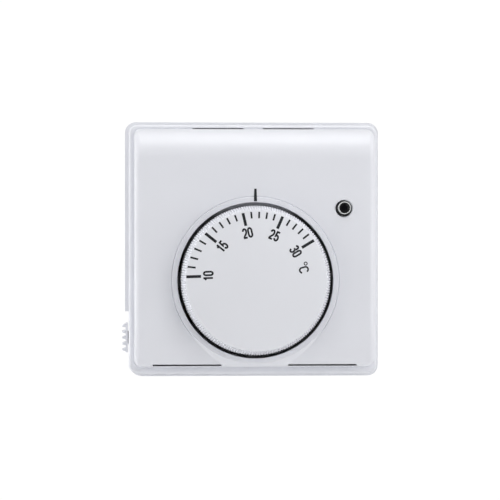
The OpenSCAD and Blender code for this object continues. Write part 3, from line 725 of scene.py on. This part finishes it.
def build_bush():
    """A thin tube round the lens, with a flange at its rear."""
    back, front = BUSH[2]
    profile = [(BUSH_BORE_R, back + 1), (BUSH_BORE_R, front), (BUSH_R, front),
               (BUSH_R, back + BUSH_FLANGE), (BUSH_FLANGE_R, back + BUSH_FLANGE),
               (BUSH_FLANGE_R, back), (BUSH_BORE_R, back)]
    profile = rounded(profile, BUSH_ROUND)
    return finish_mesh(lathe("lamp_bush_visual", profile, LAMP_AXIS, loop=True))


# ---------- materials ----------

# how fine each noise is: larger is finer
CLOUDS = 38.0
HANDLING = 95.0
TARNISH = 260.0
DULL_PATCHES = 420.0

# where the painted shade in the dial's well begins and where it is full: out from the opening,
# down from the collar's ring, and height over the dial's axis as a share of the opening's radius
WELL_SHADE_OUTSIDE = (0.2, 0.05)
WELL_SHADE_BELOW = (0.25, 1.2)
WELL_SHADE_TOP = (0.93, 0.8)
WELL_SHADE_AMOUNT = 0.75


def node_material(name, colour, roughness, **sockets):
    mat = bpy.data.materials.new(name)
    mat.use_nodes = True
    mat.diffuse_color = (*colour, 1)
    tree = mat.node_tree
    shader = tree.nodes["Principled BSDF"]
    shader.inputs["Base Color"].default_value = (*colour, 1)
    shader.inputs["Roughness"].default_value = roughness
    for socket, value in sockets.items():
        shader.inputs[socket.replace("_", " ")].default_value = value
    return mat, tree, shader


def add(tree, kind, **inputs):
    node = tree.nodes.new(kind)
    for key, value in inputs.items():
        node.inputs[key].default_value = value
    return node


def math_node(tree, operation, first, second):
    node = tree.nodes.new("ShaderNodeMath")
    node.operation = operation
    tree.links.new(first, node.inputs[0])
    tree.links.new(second, node.inputs[1])
    return node.outputs["Value"]


def map_range(tree, source, start, end, at_start=0, at_end=1, smooth=False):
    """Goes from at_start to at_end while the source goes from start to end, and stays there."""
    node = add(tree, "ShaderNodeMapRange", **{"From Min": start, "From Max": end,
                                             "To Min": at_start, "To Max": at_end})
    if smooth:
        node.interpolation_type = "SMOOTHSTEP"
    tree.links.new(source, node.inputs["Value"])
    return node.outputs["Result"]


def noise(tree, scale, detail=3.0, stretch=(1, 1, 1)):
    """Noise over the object's own coordinates, in metres times the scale."""
    coords = tree.nodes.new("ShaderNodeTexCoord")
    mapping = add(tree, "ShaderNodeMapping", Scale=stretch)
    tex = add(tree, "ShaderNodeTexNoise", Scale=scale, Detail=detail)
    tree.links.new(coords.outputs["Object"], mapping.inputs["Vector"])
    tree.links.new(mapping.outputs["Vector"], tex.inputs["Vector"])
    return tex.outputs["Fac"]


def tint(tree, shader, colour, source, amount):
    """Lets the colour drift a little either side of its value, over a noise's middle range."""
    ramp = tree.nodes.new("ShaderNodeValToRGB")
    dark, light = ramp.color_ramp.elements
    dark.position = 0.3
    light.position = 0.7
    dark.color = (*[c * (1 - amount) for c in colour], 1)
    light.color = (*[min(1, c * (1 + amount)) for c in colour], 1)
    tree.links.new(source, ramp.inputs["Fac"])
    tree.links.new(ramp.outputs["Color"], shader.inputs["Base Color"])


def finish_range(tree, shader, source, low, high):
    """Lets the roughness wander from low to high over a noise's middle range."""
    tree.links.new(map_range(tree, source, 0.3, 0.7, low, high), shader.inputs["Roughness"])


def relief_bump(tree, shader, source, height):
    """Surface relief of a height in metres."""
    node = add(tree, "ShaderNodeBump", Strength=1.0, Distance=height)
    tree.links.new(source, node.inputs["Height"])
    tree.links.new(node.outputs["Normal"], shader.inputs["Normal"])


def moulded(name, colour, roughness, grain=9000.0, relief=6e-6, drift=0.012, gloss=0.05,
            **sockets):
    """Injection moulded plastic: fine spark-eroded grain, faint cloudiness, handling sheen."""
    mat, tree, shader = node_material(name, colour, roughness, **sockets)
    tint(tree, shader, colour, noise(tree, CLOUDS, 2.0), drift)
    finish_range(tree, shader, noise(tree, HANDLING, 4.0), roughness - gloss, roughness + gloss)
    relief_bump(tree, shader, noise(tree, grain, 2.0), relief)
    return mat


def metal(name, colour, roughness, stretch=(1, 1, 14), scale=900.0, relief=2e-6, drift=0.06):
    """Bare or plated metal with fine drawing marks and duller patches."""
    mat, tree, shader = node_material(name, colour, roughness, Metallic=1.0)
    tint(tree, shader, colour, noise(tree, TARNISH, 5.0), drift)
    finish_range(tree, shader, noise(tree, DULL_PATCHES, 6.0), roughness - 0.07, roughness + 0.12)
    relief_bump(tree, shader, noise(tree, scale, 3.0, stretch), relief)
    return mat


def shade_well(material, colour):
    """Painted shade: darkens the narrow well around the dial from just below its mouth, less at
    the top.
    """
    tree = material.node_tree
    base = tree.nodes["Principled BSDF"].inputs["Base Color"]
    coords = tree.nodes.new("ShaderNodeTexCoord").outputs["Object"]
    from_axis = add(tree, "ShaderNodeMapping", Location=(0, 0, -DIAL_Y * MM), Scale=(1, 0, 1))
    distance = tree.nodes.new("ShaderNodeVectorMath")
    distance.operation = "LENGTH"
    split = tree.nodes.new("ShaderNodeSeparateXYZ")
    tree.links.new(coords, from_axis.inputs["Vector"])
    tree.links.new(from_axis.outputs["Vector"], distance.inputs[0])
    tree.links.new(coords, split.inputs["Vector"])
    within = map_range(tree, distance.outputs["Value"],
                       *[(OPENING_R + margin) * MM for margin in WELL_SHADE_OUTSIDE])
    below = map_range(tree, split.outputs["Y"],
                      *[(depth - COLLAR_DEPTH) * MM for depth in WELL_SHADE_BELOW])
    not_top = map_range(tree, split.outputs["Z"],
                        *[(DIAL_Y + height * OPENING_R) * MM for height in WELL_SHADE_TOP])
    share = math_node(tree, "MULTIPLY", math_node(tree, "MULTIPLY", within, below), not_top)
    painted_shade = [c * (1 - WELL_SHADE_AMOUNT) for c in colour]
    # the painted shade's colour: the cover's white, darkened
    mix = add(tree, "ShaderNodeMixRGB", Color2=(*painted_shade, 1))
    tree.links.new(share, mix.inputs["Fac"])
    tree.links.new(base.links[0].from_socket, mix.inputs["Color1"])
    tree.links.new(mix.outputs["Color"], base)


COVER_WHITE = (0.80, 0.81, 0.855)
PLASTICS = {
    "cover_plastic": (COVER_WHITE, 0.36, {"drift": 0.008, "gloss": 0.025}),
    "housing_plastic": ((0.80, 0.81, 0.845), 0.4, {"drift": 0.01}),
    "dial_plastic": ((0.80, 0.81, 0.85), 0.32, {"drift": 0.006, "gloss": 0.012}),
    "button_plastic": ((0.79, 0.80, 0.84), 0.38, {}),
    "bush_plastic": ((0.78, 0.79, 0.79), 0.25, {"relief": 3e-6}),
    "lens_plastic": ((0.004, 0.004, 0.005), 0.16,
                     {"relief": 1e-6, "drift": 0.2, "Specular_IOR_Level": 0.12}),
    "ink": ((0.02, 0.021, 0.025), 0.5, {"relief": 4e-6, "drift": 0.15, "Specular_IOR_Level": 0.3}),
    "switch_plastic": ((0.03, 0.03, 0.033), 0.45, {"drift": 0.15}),
    "plunger_plastic": ((0.55, 0.09, 0.06), 0.35, {}),
    "terminal_plastic": ((0.72, 0.72, 0.69), 0.45, {}),
    "lamp_glass": ((0.85, 0.83, 0.8), 0.08,
                   {"relief": 1e-6, "Transmission_Weight": 0.85, "IOR": 1.5}),
    "lamp_resistor_body": ((0.18, 0.33, 0.52), 0.35, {}),
    "heat_resistor_body": ((0.62, 0.48, 0.29), 0.4, {}),
    "wire_brown": ((0.16, 0.06, 0.025), 0.42, {"drift": 0.08}),
    "wire_black": ((0.018, 0.018, 0.02), 0.42, {"drift": 0.15}),
    "wire_blue": ((0.03, 0.08, 0.42), 0.42, {"drift": 0.08}),
}
METALS = {
    "steel": ((0.60, 0.61, 0.63), 0.3, {}),
    "spring_steel": ((0.48, 0.49, 0.51), 0.28, {"stretch": (1, 1, 1)}),
    "brass": ((0.74, 0.56, 0.26), 0.27, {}),
    "capsule_metal": ((0.76, 0.60, 0.36), 0.32, {"stretch": (1, 1, 1)}),
    "contact_metal": ((0.77, 0.75, 0.71), 0.3, {}),
}
MATERIALS = {name: make(name, colour, roughness, **options)
             for make, group in ((moulded, PLASTICS), (metal, METALS))
             for name, (colour, roughness, options) in group.items()}
# painted shade in the dial's well, on the cover's plastic
shade_well(MATERIALS["cover_plastic"], COVER_WHITE)


def wear(obj, material):
    obj.data.materials.clear()
    obj.data.materials.append(material)


# ---------- pieces made here ----------

def stand_in(piece, body, node, slot):
    """The piece rides on a body, replaces a CAD node and wears the slot's material."""
    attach(piece, body)
    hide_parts(node)
    wear(piece, MATERIALS[slot])


stand_in(build_cover(), "housing", "front_cover", "cover_plastic")
stand_in(build_dial(), "dial", "dial_knob", "dial_plastic")
add_ticks()
add_numerals()
add_index_line()
for printed in ("scale_ticks", "scale_numerals", "index_line"):
    wear(bpy.data.objects[printed], MATERIALS["ink"])
stand_in(build_lens(), "housing", "lamp_lens", "lens_plastic")
stand_in(build_bush(), "housing", "lamp_bush", "bush_plastic")


# ---------- CAD nodes that keep their shape ----------

REPLACED = {"front_cover", "dial_knob", "lamp_lens", "lamp_bush"}
LEFT_SHARP = {"range_spring", "lamp_leads", "wire_live", "wire_switched", "wire_common",
              "wire_lamp"}
ROUNDING = {"rear_housing": 0.32, "slide_knob": 0.14, "terminal_block": 0.3}
SMALL_ROUNDING = 0.08


def round_edges(obj, width):
    edge = obj.modifiers.new("edge", "BEVEL")
    edge.width = width * MM
    edge.segments = 3
    edge.limit_method = "ANGLE"
    edge.angle_limit = math.radians(38)
    edge.use_clamp_overlap = True
    edge.harden_normals = True


for part in frame["record"]["subparts"]:
    node = part["node"]
    if node in REPLACED:
        continue
    obj = frame["nodes"][node]
    for slot in obj.material_slots:
        slot.material = MATERIALS[part["material_slot"]]
    weld = obj.modifiers.new("weld", "WELD")
    weld.merge_threshold = 1e-6
    if node not in LEFT_SHARP:
        round_edges(obj, ROUNDING.get(node, SMALL_ROUNDING))


# ---------- floor, light and camera, in metres ----------

FLOOR_COLOUR = (0.86, 0.86, 0.87)
FLOOR_SIZE = (1.0, 0.5)
FLOOR_BELOW = 0.14
FLOOR_LEVEL = CASE[1][0] * MM - FLOOR_BELOW

TENT_FRONT = 0.075
TENT_REAR = 0.36
BACKDROP = 1.03

# name: watts, width, height, place; all face the frame's origin, the middle of the wall side
LIGHTS = {
    "overhead_front": (4.4, 0.8, 0.4, (0.05, -0.35, 0.95)),
    "overhead": (2.1, 0.8, 0.4, (0, 0.05, 0.95)),
    "key_left": (0.5, 0.5, 0.45, (-0.4, -0.75, 0.62)),
    "key_right": (0.3, 0.2, 0.2, (0.3, -0.42, 0.3)),
    "front_left": (1.4, 0.3, 0.9, (-0.65, -0.65, 0.05)),
    "front_right": (2.2, 0.3, 0.9, (0.65, -0.65, 0.05)),
    "side_left": (1.8, 0.3, 0.9, (-0.85, -0.35, 0.1)),
    "side_right": (2.1, 0.3, 0.9, (0.85, -0.35, 0.1)),
    "rear_left": (3.9, 0.3, 0.9, (-0.85, 0.15, 0.1)),
    "rear_right": (1.0, 0.3, 0.9, (0.85, 0.15, 0.1)),
}

CAMERA_AT = (-0.041, -0.749, 0.004)
CAMERA_AIM = (-0.0002, 0, -0.0003)
FIELD_WIDTH = 0.1654
SENSOR = 36


def squared(t):
    """Turns a circle's sine or cosine into that of a rectangle with wide round corners."""
    return np.sign(t) * np.abs(t) ** 0.3


def build_floor(steps=96):
    """A sheet of pale board with a rounded outline and a rounded edge."""
    a = np.linspace(0, 2 * math.pi, steps, endpoint=False)
    rings = []
    for grow, drop in ((1.0, 0), (1.004, 0.002), (1.004, 0.01)):
        rings.append(np.stack([squared(np.cos(a)) * FLOOR_SIZE[0] * grow,
                               squared(np.sin(a)) * FLOOR_SIZE[1] * grow,
                               np.full(steps, FLOOR_LEVEL - drop)], -1))
    faces = [(i * steps + k, i * steps + (k + 1) % steps, (i + 1) * steps + (k + 1) % steps,
              (i + 1) * steps + k) for i in range(2) for k in range(steps)]
    verts = np.array(rings).reshape(-1, 3)
    floor = finish_mesh(make_object("floor", verts, faces + [tuple(range(steps))]), 20)
    mat, tree, shader = node_material("floor_paper", FLOOR_COLOUR, 0.8)
    tint(tree, shader, FLOOR_COLOUR, noise(tree, 3.0, 2.0), 0.01)
    wear(floor, mat)


def facing(spot, aim):
    """The turn that makes a light or a camera at spot look at aim."""
    return (Vector(aim) - Vector(spot)).to_track_quat("-Z", "Y").to_euler()


def soft_light(name, watts, width, height, spot):
    data = bpy.data.lights.new(name, "AREA")
    data.shape = "RECTANGLE"
    data.size, data.size_y = width, height
    data.energy = watts
    obj = bpy.data.objects.new(name, data)
    obj.location = spot
    obj.rotation_euler = facing(spot, (0, 0, 0))
    bpy.context.scene.collection.objects.link(obj)


def build_world():
    """A white tent: a bright backdrop straight behind the object, dimmer at the sides and in
    front. What is seen past the object is plain white."""
    world = bpy.data.worlds.new("tent")
    bpy.context.scene.world = world
    world.use_nodes = True
    tree = world.node_tree
    back = tree.nodes["Background"]
    back.inputs["Color"].default_value = (1, 1, 1, 1)
    coords = tree.nodes.new("ShaderNodeTexCoord")
    split = tree.nodes.new("ShaderNodeSeparateXYZ")
    tree.links.new(coords.outputs["Generated"], split.inputs["Vector"])
    rearward = split.outputs["Y"]
    tent = map_range(tree, rearward, 0.0, 0.6, TENT_FRONT, TENT_REAR, smooth=True)
    backdrop = map_range(tree, rearward, 0.93, 0.97, 0, BACKDROP - TENT_REAR, smooth=True)
    lit = math_node(tree, "ADD", tent, backdrop)
    path = tree.nodes.new("ShaderNodeLightPath")
    seen = math_node(tree, "MAXIMUM", lit, path.outputs["Is Camera Ray"])
    tree.links.new(seen, back.inputs["Strength"])


def build_camera():
    camera = bpy.data.cameras.new("camera")
    obj = bpy.data.objects.new("camera", camera)
    bpy.context.scene.collection.objects.link(obj)
    obj.location = CAMERA_AT
    obj.rotation_euler = facing(CAMERA_AT, CAMERA_AIM)
    camera.sensor_width = SENSOR
    camera.lens = SENSOR * (Vector(CAMERA_AIM) - Vector(CAMERA_AT)).length / FIELD_WIDTH
    camera.clip_start = 0.01
    camera.clip_end = 20
    bpy.context.scene.camera = obj


build_floor()
build_world()
for name, settings in LIGHTS.items():
    soft_light(name, *settings)
build_camera()
bpy.context.scene.view_settings.view_transform = "Standard"
bpy.context.scene.view_settings.look = "None"
